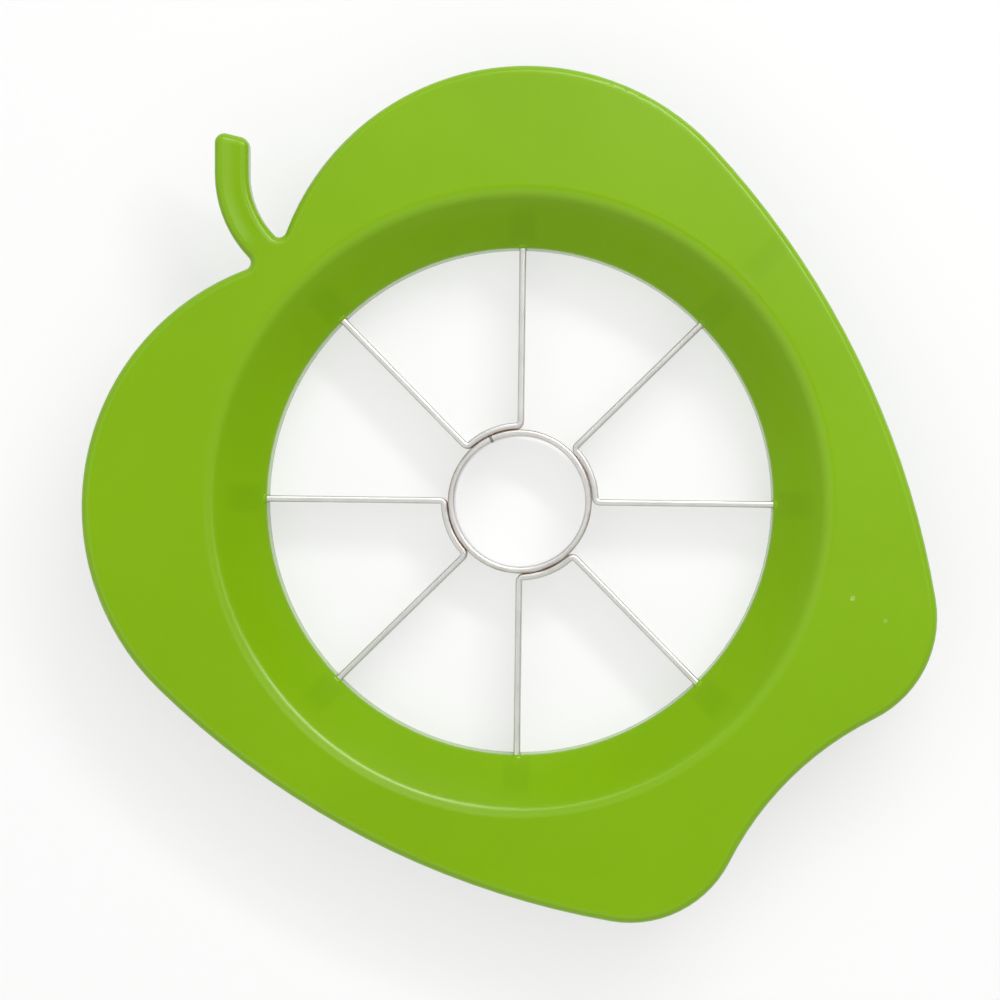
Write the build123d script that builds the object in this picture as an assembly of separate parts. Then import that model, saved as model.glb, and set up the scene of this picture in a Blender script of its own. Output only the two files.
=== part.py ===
from build123d import *
import os
from math import cos, degrees, radians, sin, tan

# Apple slicer. The origin is on the axis of the core ring, on the plane that the slicer stands on.
# +Z points up to the handle side, +Y to the stem's end of the apple. Sizes are in millimetres.

# Heights
total_height = 18.0
funnel_depth = 10.0
blade_proud = 0.3
edge_clearance = 0.6

# Round opening, funnel and collar
opening_radius = 46.0
mouth_radius = 55.3
mouth_round = 3.7
throat_round = 1.2
wall = 2.2

# Flat flange with its turned-down rim
flange_thickness = 2.8
rim_depth = 6.0
rim_round = 1.6
notch_round = 1.3

# Apple outline: four lobes, each a circle, joined by three long arcs
crown_x = 1.2
crown_y = 32.2
crown_radius = 46.0
left_x = -33.1
left_y = -1.0
left_radius = 45.6
lower_x = 19.9
lower_y = -55.6
lower_radius = 20.0
right_x = 54.6
right_y = -20.8
right_radius = 20.3
right_flank_radius = 158.0
left_flank_radius = 155.0
bay_radius = 57.9

# Stem, a bent bar that grows out of the valley between the crown and the left lobe
stem_width = 6.1
stem_bend_radius = 18.7
stem_root_angle = 56.0
stem_tip_length = 7.0
stem_tip_slope = 14.0
stem_corner = 1.7
stem_embed_angle = 16.0

# Blade set
blade_count = 8
blade_turn = -0.7
strip_thickness = 1.2
top_round = 0.45
bevel_height = 2.0
edge_thickness = 0.12
core_bore_radius = 11.9
weld_gap = 0.06
bend_radius = 0.9
seam_width = 0.2
seam_angle = 114.6

# Bosses that hold the blade ends
boss_width = 5.4
boss_reach = 9.2
tab_offset = 5.0
tab_length = 1.0
slot_clearance = 0.1
rim_rib_index = 1
rim_rib_width = 3.6

# Closing ring and the pins formed over it
ring_thickness = 2.4
ring_edge_round = 0.6
ring_margin = 1.3
relief_gap = 0.2
pin_radius = 1.2
pin_inset = 1.9
pin_clearance = 0.1
pin_head_radius = 1.9
pin_head_height = 0.8
pin_head_recess = 0.3

# How far a cutting shape or a root runs past the face that it starts from
overshoot = 1.0

throat_z = total_height - funnel_depth
flange_underside = total_height - flange_thickness
rim_bottom = total_height - rim_depth
blade_top = throat_z + blade_proud
blade_pitch = 360 / blade_count
boss_end = opening_radius + boss_reach
tab_radius = opening_radius + tab_offset
pin_circle = boss_end - pin_inset
ring_outer_radius = boss_end + ring_margin
arc_inner_radius = core_bore_radius + strip_thickness + weld_gap
arc_middle_radius = arc_inner_radius + strip_thickness / 2


def on_circle(centre, radius, angle):
    return Vector(centre.X + radius * cos(radians(angle)), centre.Y + radius * sin(radians(angle)))


def meeting_point(a, distance_a, b, distance_b, side):
    """Point at the given distances from a and b, left (+1) or right (-1) of the line from a to b."""
    apart = (b - a).length
    along = (distance_a**2 - distance_b**2 + apart**2) / (2 * apart)
    off = (distance_a**2 - along**2) ** 0.5
    forward = (b - a).normalized()
    return a + forward * along + Vector(-forward.Y, forward.X) * off * side


def towards(start, target, distance):
    return start + (target - start).normalized() * distance


def arc_about(centre, start, end):
    """The shorter arc from start to end around a centre."""
    middle = towards(centre, (start + end) / 2, (start - centre).length)
    return ThreePointArc(start, middle, end)


def lobes():
    crown = Vector(crown_x, crown_y)
    left = Vector(left_x, left_y)
    lower = Vector(lower_x, lower_y)
    right = Vector(right_x, right_y)
    return crown, left, lower, right


def valley():
    crown, left, _, _ = lobes()
    return meeting_point(crown, crown_radius, left, left_radius, -1)


def apple_arcs():
    """The seven arcs of the outline, from the valley round by the left lobe."""
    crown, left, lower, right = lobes()
    left_flank = meeting_point(
        left, left_flank_radius - left_radius, lower, left_flank_radius - lower_radius, 1)
    right_flank = meeting_point(
        right, right_flank_radius - right_radius, crown, right_flank_radius - crown_radius, 1)
    bay = meeting_point(lower, bay_radius + lower_radius, right, bay_radius + right_radius, -1)
    start = valley()
    left_end = towards(left_flank, left, left_flank_radius)
    lower_start = towards(left_flank, lower, left_flank_radius)
    lower_end = towards(lower, bay, lower_radius)
    right_start = towards(right, bay, right_radius)
    right_end = towards(right_flank, right, right_flank_radius)
    crown_start = towards(right_flank, crown, right_flank_radius)
    return [
        arc_about(left, start, left_end),
        arc_about(left_flank, left_end, lower_start),
        arc_about(lower, lower_start, lower_end),
        arc_about(bay, lower_end, right_start),
        arc_about(right, right_start, right_end),
        arc_about(right_flank, right_end, crown_start),
        arc_about(crown, crown_start, start),
    ]


def apple_face():
    return make_face(Wire(apple_arcs()))


def stem_face():
    """Straight tip with a slanted end, then a bend into the valley."""
    centre = on_circle(valley(), stem_bend_radius, stem_root_angle)
    inner = stem_bend_radius - stem_width / 2
    outer = stem_bend_radius + stem_width / 2
    end_angle = 180 + stem_root_angle + stem_embed_angle
    tip_drop = stem_width / 2 * tan(radians(stem_tip_slope))
    outer_start = on_circle(centre, outer, 180)
    inner_start = on_circle(centre, inner, 180)
    outer_tip = outer_start + Vector(0, stem_tip_length + tip_drop)
    inner_tip = inner_start + Vector(0, stem_tip_length - tip_drop)
    outer_end = on_circle(centre, outer, end_angle)
    inner_end = on_circle(centre, inner, end_angle)
    edges = [
        Line(outer_tip, outer_start),
        arc_about(centre, outer_start, outer_end),
        Line(outer_end, inner_end),
        arc_about(centre, inner_end, inner_start),
        Line(inner_start, inner_tip),
        Line(inner_tip, outer_tip),
    ]
    face = make_face(Wire(edges))
    tips = face.vertices().sort_by(Axis.Y)[-2:]
    return fillet(tips, stem_corner)


def flange_outline():
    """Apple and stem in one face, with the two notches beside the stem rounded."""
    face = apple_face() + stem_face()
    root = valley()
    notches = face.vertices().filter_by(
        lambda v: (Vector(v.X, v.Y) - root).length < stem_width)
    return fillet(notches, notch_round)


def flange_block():
    """Flange plate with its rounded rim, still as thick as the rim is deep."""
    block = extrude(Pos(0, 0, rim_bottom) * flange_outline(), rim_depth)
    top_edges = block.faces().sort_by(Axis.Z)[-1].outer_wire().edges()
    return fillet(top_edges, rim_round)


def flange_recess():
    """The space under the flange, inside its rim."""
    inside = offset(apple_face(), -wall, kind=Kind.ARC)
    return extrude(Pos(0, 0, rim_bottom) * inside, rim_depth - flange_thickness)


def revolved(points):
    return revolve(Plane.XZ * make_face(Polyline(*points, close=True)), Axis.Z)


def funnel_plug():
    """Outside of the funnel and collar, still filled."""
    slope = (mouth_radius - opening_radius) / funnel_depth
    cone_shift = wall * (1 + slope**2) ** 0.5
    outer_radius = opening_radius + wall
    cone_start = throat_z - (cone_shift - wall) / slope
    cone_end = outer_radius + (flange_underside - cone_start) * slope
    return revolved([
        (0, ring_thickness),
        (outer_radius, ring_thickness),
        (outer_radius, cone_start),
        (cone_end, flange_underside),
        (0, flange_underside),
    ])


def funnel_void():
    """All that is open from above: the round opening, the cone and its two rounded edges."""
    edge = mouth_radius + mouth_round
    profile = Polyline(
        (0, -overshoot),
        (opening_radius, -overshoot),
        (opening_radius, throat_z),
        (mouth_radius, total_height),
        (edge, total_height),
        (edge, total_height + overshoot),
        (0, total_height + overshoot),
        close=True,
    )
    face = make_face(profile)
    throat = face.vertices().sort_by_distance((opening_radius, throat_z))[0]
    face = fillet(throat, throat_round)
    mouth = face.vertices().sort_by_distance((mouth_radius, total_height))[0]
    face = fillet(mouth, mouth_round)
    return revolve(Plane.XZ * face, Axis.Z)


def radial_block(inner, outer, width, bottom, top, angle):
    block = Box(outer - inner, width, top - bottom, align=(Align.MIN, Align.CENTER, Align.MIN))
    return Rot(0, 0, angle) * Pos(inner, 0, bottom) * block


def upright(radius, bottom, top):
    return Pos(0, 0, bottom) * Cylinder(
        radius, top - bottom, align=(Align.CENTER, Align.CENTER, Align.MIN))


def blade_angles():
    return [blade_turn + blade_pitch * index for index in range(blade_count)]


def strip_angles():
    """Middle direction of each strip, half a pitch past its first blade."""
    return [angle + blade_pitch / 2 for angle in blade_angles()[::2]]


def strip_path(end_gap=0.0):
    """Tab, blade, arc along the core ring, blade, tab, seen from above and lying about +X."""
    half = radians(blade_pitch / 2)
    out = Vector(cos(half), -sin(half))
    side = Vector(sin(half), cos(half))
    reach = ((arc_middle_radius + bend_radius) ** 2 - bend_radius**2) ** 0.5
    inner_bend = out * reach + side * bend_radius
    outer_bend = out * (tab_radius - bend_radius) - side * bend_radius
    arc_start = towards(Vector(0, 0), inner_bend, arc_middle_radius)
    arm_start = out * reach
    arm_end = out * (tab_radius - bend_radius)
    tab_start = out * tab_radius - side * bend_radius
    tab_end = tab_start - side * (tab_length + end_gap)
    half_path = [
        Line(tab_end, tab_start),
        arc_about(outer_bend, tab_start, arm_end),
        Line(arm_end, arm_start),
        arc_about(inner_bend, arm_start, arc_start),
    ]
    arc_end = Vector(arc_start.X, -arc_start.Y)
    middle = arc_about(Vector(0, 0), arc_start, arc_end)
    other_half = [edge.mirror(Plane.XZ) for edge in reversed(half_path)]
    return Wire(half_path + [middle] + other_half)


def along_strip(section, path):
    """Sweeps a section, drawn as (across, height), along a strip path."""
    direction = path % 0
    start = Plane(origin=path @ 0, x_dir=Vector(0, 0, 1).cross(direction), z_dir=direction)
    return sweep(start * section, path=path)


def blade_section():
    half = strip_thickness / 2
    half_edge = edge_thickness / 2
    face = make_face(Polyline(
        (-half_edge, edge_clearance),
        (half_edge, edge_clearance),
        (half, edge_clearance + bevel_height),
        (half, blade_top),
        (-half, blade_top),
        (-half, edge_clearance + bevel_height),
        close=True,
    ))
    return fillet(face.vertices().sort_by(Axis.Y)[-2:], top_round)


def blade_strip(angle):
    """Two blades in one bent strip; its ends are stepped so that they stand on the closing ring."""
    strip = along_strip(blade_section(), strip_path())
    step_top = ring_thickness + slot_clearance
    step = upright(boss_end, 0, step_top) - upright(opening_radius - relief_gap, 0, step_top)
    return Rot(0, 0, angle) * (strip - step)


def blade_slots():
    width = strip_thickness + 2 * slot_clearance
    height = blade_top + slot_clearance - ring_thickness
    section = Pos(0, ring_thickness + height / 2) * Rectangle(width, height)
    slot = along_strip(section, strip_path(slot_clearance))
    return [Rot(0, 0, angle) * slot for angle in strip_angles()]


def core_ring():
    """A flat strip rolled round, with a straight bore, the bevel outside and a butt seam."""
    outer = core_bore_radius + strip_thickness
    face = make_face(Polyline(
        (core_bore_radius, edge_clearance),
        (core_bore_radius + edge_thickness, edge_clearance),
        (outer, edge_clearance + bevel_height),
        (outer, blade_top),
        (core_bore_radius, blade_top),
        close=True,
    ))
    face = fillet(face.vertices().sort_by(Axis.Y)[-2:], top_round)
    seam_turn = degrees(seam_width / core_bore_radius)
    ring = revolve(Plane.XZ * face, Axis.Z, 360 - seam_turn)
    return Rot(0, 0, seam_angle + seam_turn / 2) * ring


def formed_pin(angle):
    """Pin under a boss, with its head formed over below the closing ring."""
    pin = upright(pin_radius, pin_head_recess, ring_thickness + overshoot)
    head = upright(pin_head_radius, pin_head_recess, pin_head_recess + pin_head_height)
    head = fillet(head.edges().sort_by(Axis.Z)[0], pin_head_height / 2)
    return Rot(0, 0, angle) * Pos(pin_circle, 0, 0) * (pin + head)


def rim_rib():
    """Rib that carries one boss on across the flange to the rim."""
    outline_reach = max(crown_y + crown_radius, left_radius - left_x)
    angle = blade_angles()[rim_rib_index]
    rib = radial_block(
        boss_end - wall, outline_reach, rim_rib_width, rim_bottom, flange_underside, angle)
    return rib & flange_recess()


def apple_body():
    body = flange_block() - flange_recess()
    body += funnel_plug()
    for angle in blade_angles():
        body += radial_block(
            opening_radius + wall / 2, boss_end, boss_width, ring_thickness, flange_underside, angle)
    body += rim_rib()
    body -= funnel_void()
    for slot in blade_slots():
        body -= slot
    for angle in blade_angles():
        body += formed_pin(angle)
    return body


def closing_ring():
    face = make_face(Polyline(
        (opening_radius, 0),
        (ring_outer_radius, 0),
        (ring_outer_radius, ring_thickness),
        (opening_radius, ring_thickness),
        close=True,
    ))
    foot_corners = face.vertices().sort_by(Axis.Y)[:2]
    face = fillet(foot_corners, ring_edge_round)
    ring = revolve(Plane.XZ * face, Axis.Z)
    seat = pin_head_recess + pin_head_height + pin_clearance
    for angle in blade_angles():
        hole = upright(pin_radius + pin_clearance, -overshoot, ring_thickness + overshoot)
        hole += upright(pin_head_radius + pin_clearance, -overshoot, seat)
        ring -= Rot(0, 0, angle) * Pos(pin_circle, 0, 0) * hole
    return ring


def main():
    os.makedirs("parts", exist_ok=True)
    export_step(apple_body(), "parts/apple_body.step")
    export_step(closing_ring(), "parts/closing_ring.step")
    export_step(core_ring(), "parts/core_ring.step")
    for number, angle in enumerate(strip_angles(), start=1):
        export_step(blade_strip(angle), f"parts/blade_strip_{number}.step")


main()
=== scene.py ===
import math

import bmesh
import bpy
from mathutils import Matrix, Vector


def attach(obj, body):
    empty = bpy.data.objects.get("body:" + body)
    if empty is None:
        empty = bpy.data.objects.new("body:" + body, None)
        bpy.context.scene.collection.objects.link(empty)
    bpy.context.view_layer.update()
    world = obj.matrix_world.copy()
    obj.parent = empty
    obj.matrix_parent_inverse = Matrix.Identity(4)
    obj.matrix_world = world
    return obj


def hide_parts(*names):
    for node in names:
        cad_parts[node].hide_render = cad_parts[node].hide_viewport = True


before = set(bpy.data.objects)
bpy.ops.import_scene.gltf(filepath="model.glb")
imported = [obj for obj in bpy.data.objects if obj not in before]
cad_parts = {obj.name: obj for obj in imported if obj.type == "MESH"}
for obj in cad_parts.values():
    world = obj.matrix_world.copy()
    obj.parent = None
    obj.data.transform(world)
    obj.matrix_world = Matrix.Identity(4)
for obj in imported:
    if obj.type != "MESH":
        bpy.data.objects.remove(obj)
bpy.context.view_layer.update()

print("frame loaded,", len(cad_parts), "nodes")

mm = 0.001
bladeCount = 8
bladeTurn = math.radians(-0.7)
bladePitch = 2 * math.pi / bladeCount
coreBore = 11.9                         # radius, in mm like the sizes below
stripThickness = 1.2
weldGap = 0.06                          # between the core ring and the strips' arcs
cuttingLevel = 0.6
bevelHeight = 2.0
seamAngle = math.radians(114.6)
noiseSpan = (0.3, 0.7)                  # where most of a noise's values lie


# node helpers, for shader and geometry trees alike

def addNode(tree, kind, inputs=None, **settings):
    node = tree.nodes.new(kind)
    for name, value in settings.items():
        setattr(node, name, value)
    for key, value in (inputs or {}).items():
        if isinstance(value, bpy.types.NodeSocket):
            tree.links.new(value, node.inputs[key])
        else:
            node.inputs[key].default_value = value
    return node


def calc(tree, operation, a, b=0.0, c=0.0):
    return addNode(tree, "ShaderNodeMath", {0: a, 1: b, 2: c}, operation=operation).outputs[0]


def plus(tree, a, b):
    return calc(tree, "ADD", a, b)


def minus(tree, a, b):
    return calc(tree, "SUBTRACT", a, b)


def absolute(tree, value):
    return calc(tree, "ABSOLUTE", value)


def product(tree, first, *others):
    for other in others:
        first = calc(tree, "MULTIPLY", first, other)
    return first


def vector(tree, x=0.0, y=0.0, z=0.0):
    return addNode(tree, "ShaderNodeCombineXYZ", {0: x, 1: y, 2: z}).outputs[0]


def split(tree, value):
    return addNode(tree, "ShaderNodeSeparateXYZ", {0: value}).outputs


def distance(tree, x, y):
    flat = vector(tree, x, y)
    return addNode(tree, "ShaderNodeVectorMath", {0: flat}, operation="LENGTH").outputs["Value"]


def fade(tree, value, start, end):
    # 0 at start, 1 at end, smooth in between
    inputs = {"Value": value, "From Min": start, "From Max": end}
    return addNode(tree, "ShaderNodeMapRange", inputs, interpolation_type="SMOOTHSTEP").outputs[0]


def remap(tree, value, low, high, newLow, newHigh):
    inputs = {"Value": value, "From Min": low, "From Max": high, "To Min": newLow, "To Max": newHigh}
    return addNode(tree, "ShaderNodeMapRange", inputs).outputs[0]


def noise(tree, coords, scale, detail, roughness):
    inputs = {"Vector": coords, "Scale": scale, "Detail": detail, "Roughness": roughness}
    return addNode(tree, "ShaderNodeTexNoise", inputs).outputs[0]


def mixColour(tree, factor, a, b, blend="MIX"):
    node = addNode(tree, "ShaderNodeMix", data_type="RGBA", blend_type=blend)
    for index, value in ((0, factor), (6, a), (7, b)):
        if isinstance(value, bpy.types.NodeSocket):
            tree.links.new(value, node.inputs[index])
        else:
            node.inputs[index].default_value = value
    return node.outputs[2]


def shaded(tree, colour, shade):
    return mixColour(tree, 1.0, colour, vector(tree, shade, shade, shade), "MULTIPLY")


def bump(tree, height, depth, normal=None):
    # the depth is in mm
    inputs = {"Height": height, "Distance": depth * mm, "Strength": 1.0}
    if normal is not None:
        inputs["Normal"] = normal
    return addNode(tree, "ShaderNodeBump", inputs).outputs[0]


def newMaterial(name):
    material = bpy.data.materials.new(name)
    material.use_nodes = True
    tree = material.node_tree
    return material, tree, tree.nodes["Principled BSDF"]


def millimetres(tree):
    # the object's own coordinates in mm, and their parts
    coords = addNode(tree, "ShaderNodeTexCoord").outputs["Object"]
    inputs = {0: coords, "Scale": 1 / mm}
    scaled = addNode(tree, "ShaderNodeVectorMath", inputs, operation="SCALE").outputs[0]
    x, y, z = split(tree, scaled)
    return scaled, (x, y, z), distance(tree, x, y), calc(tree, "ARCTAN2", y, x)


# green plastic, satin as it comes out of the mould

plastic = {
    "colour": (0.205, 0.412, 0.0015, 1),
    "paintedShadeColour": (0.165, 0.352, 0.0005, 1),    # painted shade where a boss or the rib stands behind the skin and lets less light through
    "scuffColour": (0.27, 0.47, 0.05, 1),
    "gateColour": (0.33, 0.53, 0.11, 1),
    "roughness": 0.2,
    "wearRoughness": (-0.02, 0.03),
    "scuffRoughness": 0.2,
    "mouthDulling": 0.03,                       # the rounded edges are duller than the flats
    "rimDulling": 0.1,
    "specular": 0.42,
    "glossTint": (1.0, 1.0, 0.8, 1),

    # scale, detail and roughness of each noise
    "cloud": (0.035, 3.0, 0.5),
    "grain": (2.2, 3.0, 0.6),
    "wear": (0.35, 5.0, 0.65),
    "waves": (0.06, 1.0, 0.5),
    "cloudShare": 0.8,                          # the rest of the mottling is grain
    "mottling": (0.965, 1.035),

    # each pair below runs from nothing to full
    "skinSlope": (0.3, 0.6),                    # the upper skin, by its normal and its level
    "skinLevel": (7.0, 8.0),
    "edgeLevel": (17.99, 17.93),
    "edgeFoot": (15.0, 16.5),
    "mouthToRim": (57.5, 58.5),
    "rimLevel": (17.9, 17.2),
    "rimFoot": (12.0, 13.5),
    "rimRadius": (57.8, 59.0),
    "footLevel": (0.8, 0.1),
    "scuffWear": (0.55, 0.72),
    "rimScuff": 0.35,
    "footScuff": 0.8,

    "bandHalf": (3.2, 1.6),
    "bandStart": (45.3, 48.3),
    "bandEnd": (53.9, 50.9),
    "bandPaintedShade": 0.45,
    "bandSink": 0.5,
    "ribHalf": (2.7, 0.9),
    "ribStart": (56.2, 58.2),
    "ribPaintedShade": 0.25,
    "ribSink": 1.0,

    "stemCentre": (-32.94, 58.92),
    "stemBend": 18.7,
    "stemHalf": 3.05,
    "stemEdge": (1.3, 1.0),
    "stemRoot": (92.0, 99.0),                   # y - x, across the foot of the stem
    "stemShift": 0.15,

    "gates": ((59.7, -17.2, 0.45, 1.0), (65.5, -21.3, 0.4, 0.5)),    # x, y, radius, strength
    "gateEdge": (1.25, 0.7),
    "gateTint": 0.8,
    "gateSink": 2.0,
    "turningPitch": 0.42,
    "turningEnd": (48.2, 47.4),
    "turningHeight": 0.06,

    "sinkDepth": 0.03,
    "stemDepth": 0.36,
    "markDepth": 0.04,
    "waveDepth": 0.04,
    "grainDepth": 0.003,
}


def bossBands(tree, radius, angle):
    # eight soft bands on the funnel, one over each boss, for painted shade and a shallow sink
    folded = calc(tree, "WRAP", minus(tree, angle, bladeTurn), bladePitch / 2, -bladePitch / 2)
    aside = absolute(tree, product(tree, radius, folded))
    return product(
        tree, fade(tree, aside, *plastic["bandHalf"]),
        fade(tree, radius, *plastic["bandStart"]),
        fade(tree, radius, *plastic["bandEnd"]))


def rimRib(tree, x, y):
    # the rib that runs on from one boss to the rim, for painted shade and a shallow sink
    angle = bladeTurn + bladePitch
    outward = plus(tree, product(tree, x, math.cos(angle)), product(tree, y, math.sin(angle)))
    aside = minus(tree, product(tree, y, math.cos(angle)), product(tree, x, math.sin(angle)))
    return product(
        tree, fade(tree, absolute(tree, aside), *plastic["ribHalf"]),
        fade(tree, outward, *plastic["ribStart"]))


def stemDish(tree, x, y):
    # the solid stem has sunk along its middle, across the line that it bends along
    centreX, centreY = plastic["stemCentre"]
    below = calc(tree, "MINIMUM", minus(tree, y, centreY), 0.0)
    reach = distance(tree, minus(tree, x, centreX), below)
    offLine = calc(tree, "DIVIDE", minus(tree, reach, plastic["stemBend"]), plastic["stemHalf"])
    onStem = product(
        tree, fade(tree, minus(tree, y, x), *plastic["stemRoot"]),
        fade(tree, absolute(tree, offLine), *plastic["stemEdge"]))
    offDish = plus(tree, offLine, plastic["stemShift"])
    return product(tree, offDish, offDish, onStem)


def gatePips(tree, x, y):
    # pips left by the moulding gates
    pips = 0.0
    outer, inner = plastic["gateEdge"]
    for gateX, gateY, size, strength in plastic["gates"]:
        away = distance(tree, minus(tree, x, gateX), minus(tree, y, gateY))
        pip = product(tree, fade(tree, away, size * outer, size * inner), strength)
        pips = calc(tree, "MAXIMUM", pips, pip)
    return pips


def scuffs(tree, wear, radius, z):
    # along the rounded rim and on the foot of the closing ring
    rim = product(
        tree, fade(tree, z, *plastic["rimLevel"]),
        fade(tree, z, *plastic["rimFoot"]),
        fade(tree, radius, *plastic["rimRadius"]), plastic["rimScuff"])
    foot = product(tree, fade(tree, z, *plastic["footLevel"]), plastic["footScuff"])
    return product(tree, fade(tree, wear, *plastic["scuffWear"]), calc(tree, "MAXIMUM", rim, foot))


def turningMarks(tree, radius):
    # fine rings just above the throat
    rings = calc(tree, "SINE", product(tree, radius, 2 * math.pi / plastic["turningPitch"]))
    return product(tree, rings, fade(tree, radius, *plastic["turningEnd"]), plastic["turningHeight"])


def greenPlastic():
    material, tree, shader = newMaterial("greenPlastic")
    coords, (x, y, z), radius, angle = millimetres(tree)
    slope = split(tree, addNode(tree, "ShaderNodeNewGeometry").outputs["Normal"])[2]
    skin = product(tree, fade(tree, slope, *plastic["skinSlope"]), fade(tree, z, *plastic["skinLevel"]))
    band = product(tree, skin, bossBands(tree, radius, angle))
    rib = product(tree, skin, rimRib(tree, x, y))
    dish = product(tree, skin, stemDish(tree, x, y))
    gate = product(tree, skin, gatePips(tree, x, y))
    turning = product(tree, skin, turningMarks(tree, radius))
    cloud = noise(tree, coords, *plastic["cloud"])
    grain = noise(tree, coords, *plastic["grain"])
    wear = noise(tree, coords, *plastic["wear"])
    waves = noise(tree, coords, *plastic["waves"])
    scuff = scuffs(tree, wear, radius, z)

    bandPaintedShade = product(tree, band, plastic["bandPaintedShade"])
    ribPaintedShade = product(tree, rib, plastic["ribPaintedShade"])
    gateTint = product(tree, gate, plastic["gateTint"])
    share = plastic["cloudShare"]
    mottle = plus(tree, product(tree, cloud, share), product(tree, grain, 1 - share))
    # painted shade over the bosses and the rib, where the thicker plastic lets less light through
    colour = mixColour(tree, bandPaintedShade, plastic["colour"], plastic["paintedShadeColour"])
    colour = mixColour(tree, ribPaintedShade, colour, plastic["paintedShadeColour"])
    colour = shaded(tree, colour, remap(tree, mottle, *noiseSpan, *plastic["mottling"]))
    colour = mixColour(tree, scuff, colour, plastic["scuffColour"])
    colour = mixColour(tree, gateTint, colour, plastic["gateColour"])
    tree.links.new(colour, shader.inputs["Base Color"])

    worn = remap(tree, wear, *noiseSpan, *plastic["wearRoughness"])
    rough = plus(tree, worn, plastic["roughness"])
    rough = plus(tree, rough, product(tree, scuff, plastic["scuffRoughness"]))
    edge = product(tree, fade(tree, z, *plastic["edgeLevel"]), fade(tree, z, *plastic["edgeFoot"]))
    dulling = remap(
        tree, radius, *plastic["mouthToRim"], plastic["mouthDulling"], plastic["rimDulling"])
    rough = plus(tree, rough, product(tree, edge, dulling))
    tree.links.new(rough, shader.inputs["Roughness"])
    shader.inputs["Specular IOR Level"].default_value = plastic["specular"]
    shader.inputs["Specular Tint"].default_value = plastic["glossTint"]

    sink = plus(tree, product(tree, band, -plastic["bandSink"]), product(tree, rib, -plastic["ribSink"]))
    marks = minus(tree, turning, product(tree, gate, plastic["gateSink"]))
    normal = bump(tree, sink, plastic["sinkDepth"])
    normal = bump(tree, dish, plastic["stemDepth"], normal)
    normal = bump(tree, marks, plastic["markDepth"], normal)
    normal = bump(tree, waves, plastic["waveDepth"], normal)
    normal = bump(tree, grain, plastic["grainDepth"], normal)
    tree.links.new(normal, shader.inputs["Normal"])
    return material


# stainless strip, lightly brushed along its length

steel = {
    "colour": (0.72, 0.70, 0.69, 1),
    "brightColour": (0.80, 0.785, 0.775, 1),
    "jointColour": (0.50, 0.43, 0.35, 1),        # warmer and darker along the joint of the core ring and the strips' arcs
    "seamColour": (0.12, 0.09, 0.07, 1),
    "roughness": 0.42,
    "streakRoughness": (-0.05, 0.07),
    "streakDepth": 0.006,
    "brushScales": (0.12, 14.0, 14.0),          # along the strip, across it and up
    "brush": (1.0, 4.0, 0.6),
    "grindScales": (9.0, 1.0, 0.6),             # the bevel is ground square to the edge
    "grind": (1.0, 3.0, 0.6),
    "bevelBlend": 0.05,
    "cloud": (0.25, 3.0, 0.5),
    "mottling": (0.94, 1.04),
    "jointReach": (0.75, 0.05),
    "jointPatches": (0.4, 2.0, 0.5),
    "jointSpan": (0.35, 0.6),
    "jointStrength": (0.2, 0.8),
    "seamHalf": (0.42, 0.12),
    "seamTint": 0.7,
}


def streaks(tree, along, across, z, scales, settings):
    alongScale, acrossScale, upScale = scales
    coords = vector(
        tree, product(tree, along, alongScale / mm), product(tree, across, acrossScale / mm),
        product(tree, z, upScale))
    return noise(tree, coords, *settings)


def bladeSteel():
    material, tree, shader = newMaterial("bladeSteel")
    coords, (x, y, z), radius, angle = millimetres(tree)
    along = addNode(tree, "ShaderNodeAttribute", attribute_name="along").outputs["Fac"]
    across = addNode(tree, "ShaderNodeAttribute", attribute_name="across").outputs["Fac"]
    brushed = streaks(tree, along, across, z, steel["brushScales"], steel["brush"])
    ground = streaks(tree, along, across, z, steel["grindScales"], steel["grind"])
    bevelTop = cuttingLevel + bevelHeight
    bevel = fade(tree, z, bevelTop + steel["bevelBlend"], bevelTop - steel["bevelBlend"])
    flat = minus(tree, 1.0, bevel)
    streak = plus(tree, product(tree, brushed, flat), product(tree, ground, bevel))
    bright = remap(tree, streak, *noiseSpan, 0.0, 1.0)
    cloud = noise(tree, coords, *steel["cloud"])
    colour = mixColour(tree, bright, steel["colour"], steel["brightColour"])
    colour = shaded(tree, colour, remap(tree, cloud, *noiseSpan, *steel["mottling"]))

    # warmer and darker in patches along the joint of the core ring and the strips' arcs, dark along the
    # core ring's butt seam
    jointRadius = coreBore + stripThickness + weldGap / 2
    offJoint = absolute(tree, minus(tree, radius, jointRadius))
    patches = noise(tree, coords, *steel["jointPatches"])
    jointTone = product(
        tree, fade(tree, offJoint, *steel["jointReach"]),
        remap(tree, patches, *steel["jointSpan"], *steel["jointStrength"]))
    offSeam = calc(tree, "WRAP", minus(tree, angle, seamAngle), math.pi, -math.pi)
    seam = product(
        tree, fade(tree, absolute(tree, product(tree, radius, offSeam)), *steel["seamHalf"]),
        fade(tree, radius, jointRadius + weldGap / 2, jointRadius - weldGap / 2), steel["seamTint"])
    colour = mixColour(tree, jointTone, colour, steel["jointColour"])
    colour = mixColour(tree, seam, colour, steel["seamColour"])
    tree.links.new(colour, shader.inputs["Base Color"])
    shader.inputs["Metallic"].default_value = 1.0
    rough = plus(tree, remap(tree, streak, *noiseSpan, *steel["streakRoughness"]), steel["roughness"])
    tree.links.new(rough, shader.inputs["Roughness"])
    tree.links.new(bump(tree, streak, steel["streakDepth"]), shader.inputs["Normal"])
    return material


plasticMaterial = greenPlastic()
steelMaterial = bladeSteel()
for name in ("apple_body", "closing_ring"):
    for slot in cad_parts[name].material_slots:
        slot.material = plasticMaterial
for name in ("core_ring", "blade_strip_1", "blade_strip_2", "blade_strip_3", "blade_strip_4"):
    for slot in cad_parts[name].material_slots:
        slot.material = steelMaterial
print("materials made")


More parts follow.
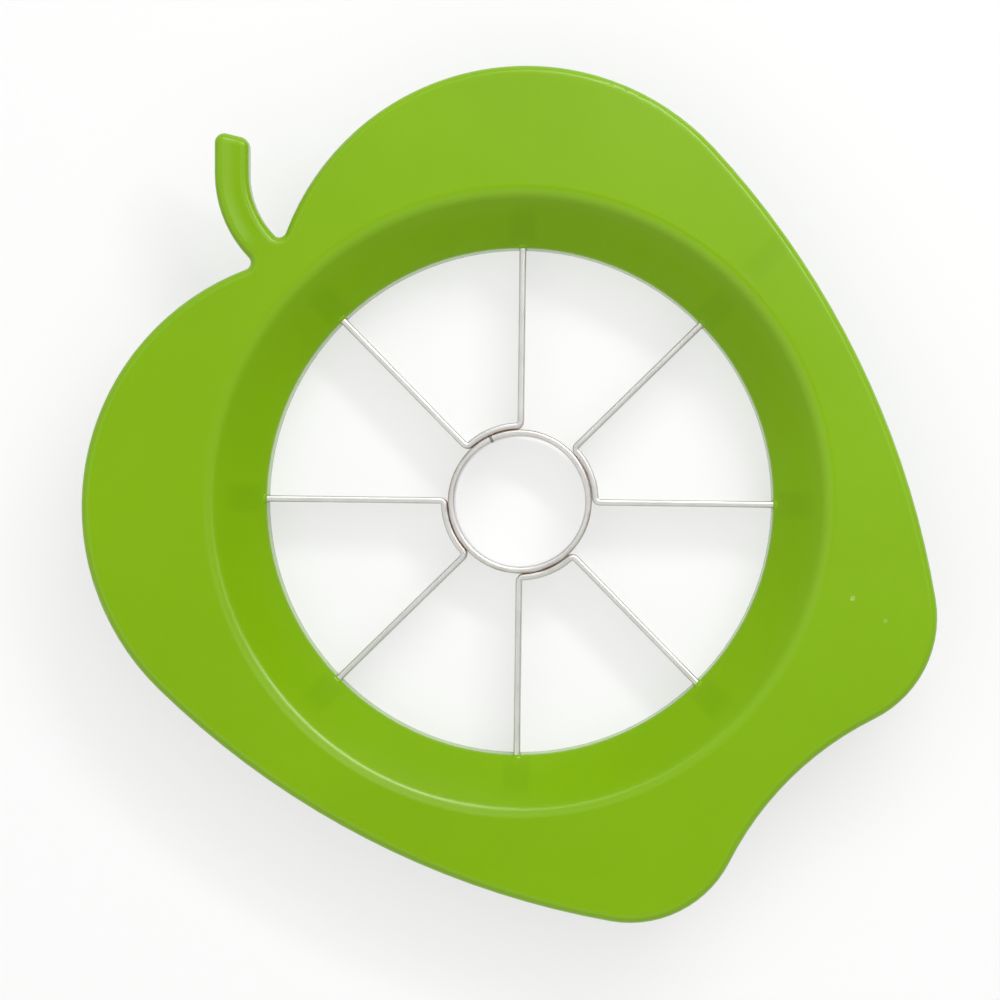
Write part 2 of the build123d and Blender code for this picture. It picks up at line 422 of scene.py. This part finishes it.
# moulded parts: the CAD skins closed into one mesh each, so that light runs evenly over their edges

moulded = {
    "names": {"apple_body": "moulded_body", "closing_ring": "moulded_closing_ring"},
    "joinDistance": 0.002 * mm,
    "sharpAngle": math.radians(28),
    "flatWeight": 75,
}


def addObject(name, data):
    made = bpy.data.objects.new(name, data)
    bpy.context.scene.collection.objects.link(made)
    return made


def baked(piece):
    depsgraph = bpy.context.evaluated_depsgraph_get()
    mesh = bpy.data.meshes.new_from_object(
        piece.evaluated_get(depsgraph), preserve_all_data_layers=True, depsgraph=depsgraph)
    mesh.name = piece.name
    piece.data = mesh
    piece.modifiers.clear()
    print("made", piece.name, len(mesh.vertices), "points")
    return piece


def closedSkin(name, source):
    mesh = source.data.copy()
    mesh.name = name
    skin = bmesh.new()
    skin.from_mesh(mesh)
    bmesh.ops.remove_doubles(skin, verts=skin.verts, dist=moulded["joinDistance"])
    for face in skin.faces:
        face.smooth = True
    for edge in skin.edges:
        edge.smooth = edge.calc_face_angle(0.0) < moulded["sharpAngle"]
    skin.to_mesh(mesh)
    skin.free()
    mesh.normals_split_custom_set([(0.0, 0.0, 0.0)] * len(mesh.loops))     # back to normals of its own
    mesh.materials.clear()
    mesh.materials.append(plasticMaterial)
    piece = addObject(name, mesh)
    even = piece.modifiers.new("even", "WEIGHTED_NORMAL")
    even.mode = "FACE_AREA_WITH_ANGLE"
    even.keep_sharp = True
    even.weight = moulded["flatWeight"]
    return baked(piece)


for name, newName in moulded["names"].items():
    piece = closedSkin(newName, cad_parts[name])
    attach(piece, "root")
    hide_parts(name)


# geometry node helpers

def newTree(name, sizes):
    tree = bpy.data.node_groups.new(name, "GeometryNodeTree")
    tree.is_modifier = True
    tree.interface.new_socket(name="Geometry", in_out="OUTPUT", socket_type="NodeSocketGeometry")
    for label, value in sizes.items():
        kind = "NodeSocketInt" if isinstance(value, int) else "NodeSocketFloat"
        socket = tree.interface.new_socket(name=label, in_out="INPUT", socket_type=kind)
        socket.default_value = value
    given = addNode(tree, "NodeGroupInput").outputs
    return tree, {label: given[label] for label in sizes}


def joined(tree, *parts):
    node = addNode(tree, "GeometryNodeJoinGeometry")
    for part in reversed(parts):
        tree.links.new(part, node.inputs[0])
    return node.outputs[0]


def moved(tree, geometry, translation=(0, 0, 0), rotation=(0, 0, 0), scale=(1, 1, 1)):
    inputs = {"Geometry": geometry, "Translation": translation, "Rotation": rotation, "Scale": scale}
    return addNode(tree, "GeometryNodeTransform", inputs).outputs[0]


def arc(tree, radius, start, sweep, resolution):
    inputs = {"Radius": radius, "Start Angle": start, "Sweep Angle": sweep, "Resolution": resolution}
    return addNode(tree, "GeometryNodeCurveArc", inputs, mode="RADIUS").outputs[0]


def line(tree, start, end):
    return addNode(tree, "GeometryNodeCurvePrimitiveLine", {"Start": start, "End": end}).outputs[0]


def ball(tree, radius, segments, rings):
    inputs = {"Radius": radius, "Segments": segments, "Rings": rings}
    return addNode(tree, "GeometryNodeMeshUVSphere", inputs).outputs[0]


def place(tree):
    return addNode(tree, "GeometryNodeInputPosition").outputs[0]


def named(tree, geometry, name, value):
    inputs = {"Geometry": geometry, "Name": name, "Value": value}
    settings = {"data_type": "FLOAT", "domain": "POINT"}
    return addNode(tree, "GeometryNodeStoreNamedAttribute", inputs, **settings).outputs[0]


def onPoints(tree, points, instance, rotation=(0, 0, 0), scale=(1, 1, 1)):
    inputs = {"Points": points, "Instance": instance, "Rotation": rotation, "Scale": scale}
    return addNode(tree, "GeometryNodeInstanceOnPoints", inputs).outputs[0]


def ringOfPoints(tree, size):
    # evenly spaced round the slicer's axis
    inputs = {"Vertices": size["Count"], "Radius": size["Radius"]}
    points = addNode(tree, "GeometryNodeMeshCircle", inputs).outputs[0]
    return moved(tree, points, vector(tree, z=size["Level"]), vector(tree, z=size["Turn"]))


def switchByIndex(tree, kind, values):
    node = addNode(tree, "GeometryNodeIndexSwitch", data_type=kind)
    while len(node.index_switch_items) < len(values):
        node.index_switch_items.new()
    tree.links.new(addNode(tree, "GeometryNodeInputIndex").outputs[0], node.inputs[0])
    for number, value in enumerate(values, start=1):
        if isinstance(value, bpy.types.NodeSocket):
            tree.links.new(value, node.inputs[number])
        else:
            node.inputs[number].default_value = value
    return node.outputs[0]


def section(tree, corners, rounds, cuts):
    # closed profile through the corners, drawn as (across, height), with some of them rounded
    places = [vector(tree, across, height) for across, height in corners]
    ring = addNode(tree, "GeometryNodeCurvePrimitiveCircle", {"Resolution": len(corners)}).outputs[0]
    inputs = {"Geometry": ring, "Position": switchByIndex(tree, "VECTOR", places)}
    ring = addNode(tree, "GeometryNodeSetPosition", inputs).outputs[0]
    inputs = {"Curve": ring, "Count": cuts, "Radius": switchByIndex(tree, "FLOAT", rounds)}
    ring = addNode(tree, "GeometryNodeFilletCurve", inputs, mode="POLY").outputs[0]
    ring = named(tree, ring, "across", split(tree, place(tree))[0])
    ring = moved(tree, ring, scale=(1, -1, 1))          # the sweep turns height downwards
    return addNode(tree, "GeometryNodeReverseCurve", {"Curve": ring}).outputs[0]


def alongPath(tree, path, profile, **options):
    path = addNode(tree, "GeometryNodeSetCurveNormal", {"Curve": path}, mode="Z_UP").outputs[0]
    inputs = {"Curve": path, "Profile Curve": profile, **options}
    return addNode(tree, "GeometryNodeCurveToMesh", inputs).outputs[0]


def swept(tree, path, profile):
    length = addNode(tree, "GeometryNodeSplineParameter").outputs["Length"]
    return alongPath(tree, named(tree, path, "along", length), profile, **{"Fill Caps": True})


def shadeSmooth(tree, geometry, domain, smooth, selection=True):
    inputs = {"Geometry": geometry, "Selection": selection, "Shade Smooth": smooth}
    return addNode(tree, "GeometryNodeSetShadeSmooth", inputs, domain=domain).outputs[0]


def finishTree(tree, geometry, material):
    geometry = addNode(tree, "GeometryNodeRealizeInstances", {"Geometry": geometry}).outputs[0]
    angle = addNode(tree, "GeometryNodeInputMeshEdgeAngle").outputs[0]
    sharp = addNode(
        tree, "FunctionNodeCompare", {0: angle, 1: creaseAngle},
        data_type="FLOAT", operation="GREATER_THAN").outputs[0]
    geometry = shadeSmooth(tree, geometry, "FACE", True)
    geometry = shadeSmooth(tree, geometry, "EDGE", False, sharp)
    inputs = {"Geometry": geometry, "Material": material}
    geometry = addNode(tree, "GeometryNodeSetMaterial", inputs).outputs[0]
    addNode(tree, "NodeGroupOutput", {0: geometry})


def makePiece(name, tree, sizes=None):
    piece = addObject(name, bpy.data.meshes.new(name))
    modifier = piece.modifiers.new("build", "NODES")
    modifier.node_group = tree
    for item in tree.interface.items_tree:
        if item.in_out == "INPUT" and item.name in (sizes or {}):
            modifier[item.identifier] = sizes[item.name]
    return baked(piece)


creaseAngle = math.radians(35)
stripStock = {                          # the strip that the blades and the core ring are cut from
    "Thickness": stripThickness * mm,
    "Edge Thickness": 0.12 * mm,
    "Edge Height": cuttingLevel * mm,
    "Bevel Height": bevelHeight * mm,
    "Top Height": 8.3 * mm,
    "Top Round": 0.45 * mm,
    "Round Cuts": 5,
}


# blade strips: tab, blade, arc along the core ring, blade, tab

strip = {
    "Turn": 0.0,
    "Half Pitch": bladePitch / 2,
    **stripStock,
    "Arc Radius": 13.76 * mm,
    "Arc Steps": 25,
    "Blade Cuts": 23,
    "Bend Radius": 0.9 * mm,
    "Bend Steps": 9,
    "Tab Radius": 51.0 * mm,
    "Tab Length": 1.0 * mm,
    "Step Start": 45.8 * mm,
    "Step End": 55.2 * mm,
    "Step Height": 2.5 * mm,
    "Step Sides": 180,
    "Weld Angle": math.radians(9.0),
    "Weld Radius": 0.95 * mm,
    "Weld Height": 0.09 * mm,
    "Weld Level": 5.2 * mm,
    "Weld Segments": 24,
    "Weld Rings": 12,
    "Merge Distance": 0.001 * mm,
}


def stripProfile(tree, size):
    # ground on both sides
    half = product(tree, size["Thickness"], 0.5)
    halfEdge = product(tree, size["Edge Thickness"], 0.5)
    minusHalf = product(tree, half, -1.0)
    bevelTop = plus(tree, size["Edge Height"], size["Bevel Height"])
    corners = [
        (product(tree, halfEdge, -1.0), size["Edge Height"]),
        (halfEdge, size["Edge Height"]),
        (half, bevelTop),
        (half, size["Top Height"]),
        (minusHalf, size["Top Height"]),
        (minusHalf, bevelTop),
    ]
    rounds = [0.0, 0.0, 0.0, size["Top Round"], size["Top Round"], 0.0]
    return section(tree, corners, rounds, size["Round Cuts"])


def stripPath(tree, size):
    # one half of the path, with its blade along +X
    bend = size["Bend Radius"]
    tab = size["Tab Radius"]
    steps = size["Bend Steps"]
    fromAxis = plus(tree, size["Arc Radius"], bend)
    squares = minus(tree, product(tree, fromAxis, fromAxis), product(tree, bend, bend))
    reach = calc(tree, "SQRT", squares)
    lean = calc(tree, "ARCTAN2", bend, reach)
    bladeEnd = minus(tree, tab, bend)
    minusBend = product(tree, bend, -1.0)
    tabEnd = minus(tree, minusBend, size["Tab Length"])
    innerArc = arc(tree, bend, plus(tree, lean, math.pi), minus(tree, math.pi / 2, lean), steps)
    outerArc = arc(tree, bend, 0.0, math.pi / 2, steps)
    blade = line(tree, vector(tree, reach), vector(tree, bladeEnd))
    inputs = {"Curve": blade, "Cuts": size["Blade Cuts"]}
    blade = addNode(tree, "GeometryNodeSubdivideCurve", inputs).outputs[0]
    half = joined(
        tree, blade,
        moved(tree, innerArc, vector(tree, reach, bend)),
        moved(tree, outerArc, vector(tree, bladeEnd, minusBend)),
        line(tree, vector(tree, tab, minusBend), vector(tree, tab, tabEnd)))
    half = moved(tree, half, rotation=vector(tree, z=product(tree, size["Half Pitch"], -1.0)))

    # its mirror image, and the arc that joins the two
    hugStart = minus(tree, lean, size["Half Pitch"])
    hug = arc(tree, size["Arc Radius"], hugStart, product(tree, hugStart, -2.0), size["Arc Steps"])
    wires = joined(tree, half, moved(tree, half, scale=(1, -1, 1)), hug)
    wires = addNode(tree, "GeometryNodeCurveToMesh", {"Curve": wires}).outputs[0]
    inputs = {"Geometry": wires, "Distance": size["Merge Distance"]}
    wires = addNode(tree, "GeometryNodeMergeByDistance", inputs).outputs[0]
    return addNode(tree, "GeometryNodeMeshToCurve", {"Mesh": wires}).outputs[0]


def stepped(tree, size, body):
    # the ends are cut away below, so that they stand on the closing ring
    middle = product(tree, plus(tree, size["Step End"], size["Step Start"]), 0.5)
    inputs = {"Resolution": size["Step Sides"], "Radius": middle}
    circle = addNode(tree, "GeometryNodeCurvePrimitiveCircle", inputs).outputs[0]
    width = minus(tree, size["Step End"], size["Step Start"])
    inputs = {"Width": width, "Height": product(tree, size["Step Height"], 2.0)}
    profile = addNode(tree, "GeometryNodeCurvePrimitiveQuadrilateral", inputs).outputs[0]
    inputs = {"Mesh 1": body, "Mesh 2": alongPath(tree, circle, profile)}
    settings = {"operation": "DIFFERENCE", "solver": "EXACT"}
    return addNode(tree, "GeometryNodeMeshBoolean", inputs, **settings).outputs[0]


def spotWelds(tree, size):
    # two of them on the outside of the arc
    radius = plus(tree, size["Arc Radius"], product(tree, size["Thickness"], 0.5))
    start = product(tree, size["Weld Angle"], -1.0)
    spots = arc(tree, radius, start, product(tree, size["Weld Angle"], 2.0), 2)
    inputs = {"Vector": place(tree)}
    outward = addNode(tree, "FunctionNodeAlignRotationToVector", inputs, axis="Z").outputs[0]
    nugget = ball(tree, 1.0, size["Weld Segments"], size["Weld Rings"])
    scale = vector(tree, size["Weld Radius"], size["Weld Radius"], size["Weld Height"])
    return moved(tree, onPoints(tree, spots, nugget, outward, scale), vector(tree, z=size["Weld Level"]))


def buildStripTree():
    tree, size = newTree("bladeStripTree", strip)
    body = stepped(tree, size, swept(tree, stripPath(tree, size), stripProfile(tree, size)))
    whole = joined(tree, body, spotWelds(tree, size))
    finishTree(tree, moved(tree, whole, rotation=vector(tree, z=size["Turn"])), steelMaterial)
    return tree


stripTree = buildStripTree()
for number in range(1, 5):
    turn = bladeTurn + bladePitch * (2 * number - 1.5)      # halfway between the strip's two blades
    piece = makePiece(f"steel_strip_{number}", stripTree, {"Turn": turn})
    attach(piece, "root")
    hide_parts(f"blade_strip_{number}")


# core ring: a strip rolled round with a butt seam, ground on its outer side only

coreRing = {
    "Bore Radius": coreBore * mm,
    **stripStock,
    "Seam Angle": seamAngle,
    "Seam Width": 0.08 * mm,
    "Steps": 161,
}


def buildCoreRingTree():
    tree, size = newTree("coreRingTree", coreRing)
    corners = [
        (0.0, size["Edge Height"]),
        (size["Edge Thickness"], size["Edge Height"]),
        (size["Thickness"], plus(tree, size["Edge Height"], size["Bevel Height"])),
        (size["Thickness"], size["Top Height"]),
        (0.0, size["Top Height"]),
    ]
    rounds = [0.0, 0.0, 0.0, size["Top Round"], size["Top Round"]]
    profile = section(tree, corners, rounds, size["Round Cuts"])
    gap = calc(tree, "DIVIDE", size["Seam Width"], size["Bore Radius"])
    start = plus(tree, size["Seam Angle"], product(tree, gap, 0.5))
    path = arc(tree, size["Bore Radius"], start, minus(tree, 2 * math.pi, gap), size["Steps"])
    finishTree(tree, swept(tree, path, profile), steelMaterial)
    return tree


piece = makePiece("steel_core_ring", buildCoreRingTree())
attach(piece, "root")
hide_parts("core_ring")


# plastic that has crept over each blade where it enters the funnel

seal = {
    "Count": bladeCount,
    "Turn": bladeTurn,
    "Radius": 46.25 * mm,
    "Level": 8.2 * mm,
    "Length": 1.5 * mm,
    "Width": 1.9 * mm,
    "Height": 0.5 * mm,
    "Slope": math.radians(-43.0),
    "Segments": 20,
    "Rings": 10,
}


def buildSealTree():
    tree, size = newTree("bladeSealTree", seal)
    scale = vector(tree, size["Length"], size["Width"], size["Height"])
    bead = ball(tree, 0.5, size["Segments"], size["Rings"])
    bead = moved(tree, bead, rotation=vector(tree, 0.0, size["Slope"], 0.0), scale=scale)
    x, y, z = split(tree, place(tree))
    inputs = {"Axis": (0, 0, 1), "Angle": calc(tree, "ARCTAN2", y, x)}
    outward = addNode(tree, "FunctionNodeAxisAngleToRotation", inputs).outputs[0]
    finishTree(tree, onPoints(tree, ringOfPoints(tree, size), bead, outward), plasticMaterial)
    return tree


piece = makePiece("blade_seals", buildSealTree())
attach(piece, "root")


# round marks that the mould's ejector pins left on the underside, halfway between the blades

ejector = {
    "Count": bladeCount,
    "Turn": bladeTurn + bladePitch / 2,
    "Radius": 60.5 * mm,
    "Level": 15.2 * mm,
    "Pin Radius": 2.2 * mm,
    "Pin Sides": 48,
    "Proud": 0.08 * mm,
}


def buildEjectorTree():
    tree, size = newTree("ejectorMarkTree", ejector)
    depth = product(tree, size["Proud"], 2.0)
    inputs = {"Vertices": size["Pin Sides"], "Radius": size["Pin Radius"], "Depth": depth}
    disc = addNode(tree, "GeometryNodeMeshCylinder", inputs).outputs[0]
    finishTree(tree, onPoints(tree, ringOfPoints(tree, size), disc), plasticMaterial)
    return tree


piece = makePiece("ejector_marks", buildEjectorTree())
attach(piece, "root")
print("pieces made")


# floor, lights and camera

studio = {
    "floorSize": 3.0,
    "floorColour": (0.86, 0.86, 0.85, 1),
    "floorRoughness": 0.9,
    "floorSpecular": 0.1,
    "floorGlow": 0.65,

    # the room, in degrees from straight up
    "ceilingLevel": 0.10,
    "wallLevel": 0.745,
    "wallAngles": (7.0, 22.0),          # where the dark ceiling turns into lit walls
    "horizonLevel": 0.5,
    "horizonAngles": (74.0, 40.0),      # the walls darken towards the floor
    "wallShift": 0.86,                  # one side of the room is paler
    "wallAzimuth": 224.0,               # azimuths of the room go from +X towards +Y

    # soft round lights: two in the ceiling and a low window
    "banks": (
        {"angle": 12.5, "azimuth": 62.0, "edge": (15.5, 1.0), "level": 1.95},
        {"angle": 30.0, "azimuth": 62.0, "edge": (22.0, 4.0), "level": 0.95},
        {"angle": 84.0, "azimuth": 70.0, "edge": (36.0, 2.0), "level": 0.6},
    ),

    # a long strip light that fades out at both ends
    "stripAngle": 50.0,
    "stripAzimuth": 62.0,
    "stripHeights": (8.0, 2.0),
    "stripWidths": (85.0, 10.0),
    "stripLevel": 4.8,

    "keyAzimuth": 30.0,                 # from +Y towards +X
    "keyElevation": 40.0,
    "keyDistance": 0.6,
    "keySize": (0.46, 0.05),
    "keyPower": 1.3,
}


def radians(angles):
    return [math.radians(angle) for angle in angles]


def makeFloor():
    half = studio["floorSize"] / 2
    corners = [(-half, -half, 0), (half, -half, 0), (half, half, 0), (-half, half, 0)]
    mesh = bpy.data.meshes.new("floor")
    mesh.from_pydata(corners, [], [(0, 1, 2, 3)])
    floor = addObject("floor", mesh)
    material, tree, shader = newMaterial("floorPaper")
    shader.inputs["Base Color"].default_value = studio["floorColour"]
    shader.inputs["Roughness"].default_value = studio["floorRoughness"]
    shader.inputs["Specular IOR Level"].default_value = studio["floorSpecular"]
    seen = addNode(tree, "ShaderNodeLightPath").outputs
    glow = calc(tree, "MAXIMUM", seen["Is Camera Ray"], seen["Is Glossy Ray"])
    glow = product(tree, glow, studio["floorGlow"])
    white = addNode(tree, "ShaderNodeEmission").outputs[0]
    mixed = addNode(tree, "ShaderNodeMixShader", {0: glow, 1: shader.outputs[0], 2: white}).outputs[0]
    tree.links.new(mixed, tree.nodes["Material Output"].inputs["Surface"])
    mesh.materials.append(material)


def ramp(tree, value, ends, low, high):
    return remap(tree, fade(tree, value, *radians(ends)), 0.0, 1.0, low, high)


def roomLevel(tree, x, y, fromTop):
    # lit walls all round, paler on one side, under a dark ceiling
    walls = ramp(tree, fromTop, studio["wallAngles"], studio["ceilingLevel"], studio["wallLevel"])
    horizon = ramp(tree, fromTop, studio["horizonAngles"], studio["horizonLevel"], 1.0)
    side = math.radians(studio["wallAzimuth"])
    slant = plus(tree, product(tree, x, math.cos(side)), product(tree, y, math.sin(side)))
    return product(tree, walls, horizon, plus(tree, product(tree, slant, studio["wallShift"]), 1.0))


def bankLevel(tree, direction, bank):
    rise, turn = radians((90 - bank["angle"], bank["azimuth"]))
    centre = (math.cos(rise) * math.cos(turn), math.cos(rise) * math.sin(turn), math.sin(rise))
    inputs = {0: direction, 1: centre}
    apart = addNode(tree, "ShaderNodeVectorMath", inputs, operation="DISTANCE").outputs["Value"]
    return product(tree, fade(tree, apart, *radians(bank["edge"])), bank["level"])


def stripLevel(tree, x, y, fromTop):
    off = absolute(tree, minus(tree, fromTop, math.radians(studio["stripAngle"])))
    turned = minus(tree, calc(tree, "ARCTAN2", y, x), math.radians(studio["stripAzimuth"]))
    turned = absolute(tree, calc(tree, "WRAP", turned, math.pi, -math.pi))
    return product(
        tree, fade(tree, off, *radians(studio["stripHeights"])),
        fade(tree, turned, *radians(studio["stripWidths"])), studio["stripLevel"])


def makeSky():
    world = bpy.data.worlds.new("studio")
    world.use_nodes = True
    tree = world.node_tree
    direction = addNode(tree, "ShaderNodeTexCoord").outputs["Generated"]
    x, y, z = split(tree, direction)
    fromTop = calc(tree, "ARCCOSINE", z)
    level = roomLevel(tree, x, y, fromTop)
    for bank in studio["banks"]:
        level = plus(tree, level, bankLevel(tree, direction, bank))
    level = plus(tree, level, stripLevel(tree, x, y, fromTop))
    background = tree.nodes["Background"]
    tree.links.new(vector(tree, level, level, level), background.inputs["Color"])
    background.inputs["Strength"].default_value = 1.0
    bpy.context.scene.world = world


def makeKeyLight():
    light = bpy.data.lights.new("keySoftbox", "AREA")
    light.shape = "RECTANGLE"
    light.size, light.size_y = studio["keySize"]
    light.energy = studio["keyPower"]
    lamp = addObject("keySoftbox", light)
    turn, rise = radians((studio["keyAzimuth"], studio["keyElevation"]))
    flat = math.cos(rise)
    away = Vector((math.sin(turn) * flat, math.cos(turn) * flat, math.sin(rise)))
    lamp.location = away * studio["keyDistance"]
    lamp.rotation_euler = away.to_track_quat("Z", "Y").to_euler()


makeFloor()
makeSky()
makeKeyLight()

cameraView = {
    "height": 0.68,             # above the level that fills the frame
    "level": 0.0145,
    "place": (0.010, 0.00027),
    "aim": -0.00346,            # where it looks, along X
    "frameWidth": 0.180,
    "clips": (0.05, 20.0),
}


def makeCamera():
    camera = bpy.data.cameras.new("camera")
    viewer = addObject("camera", camera)
    x, y = cameraView["place"]
    height = cameraView["height"]
    aside = x - cameraView["aim"]
    viewer.location = (x, y, cameraView["level"] + height)
    viewer.rotation_euler = (0, math.atan2(aside, height), 0)
    camera.lens = camera.sensor_width * math.hypot(aside, height) / cameraView["frameWidth"]
    camera.clip_start, camera.clip_end = cameraView["clips"]
    bpy.context.scene.camera = viewer


makeCamera()
bpy.context.scene.view_settings.view_transform = "Standard"
print("studio made")
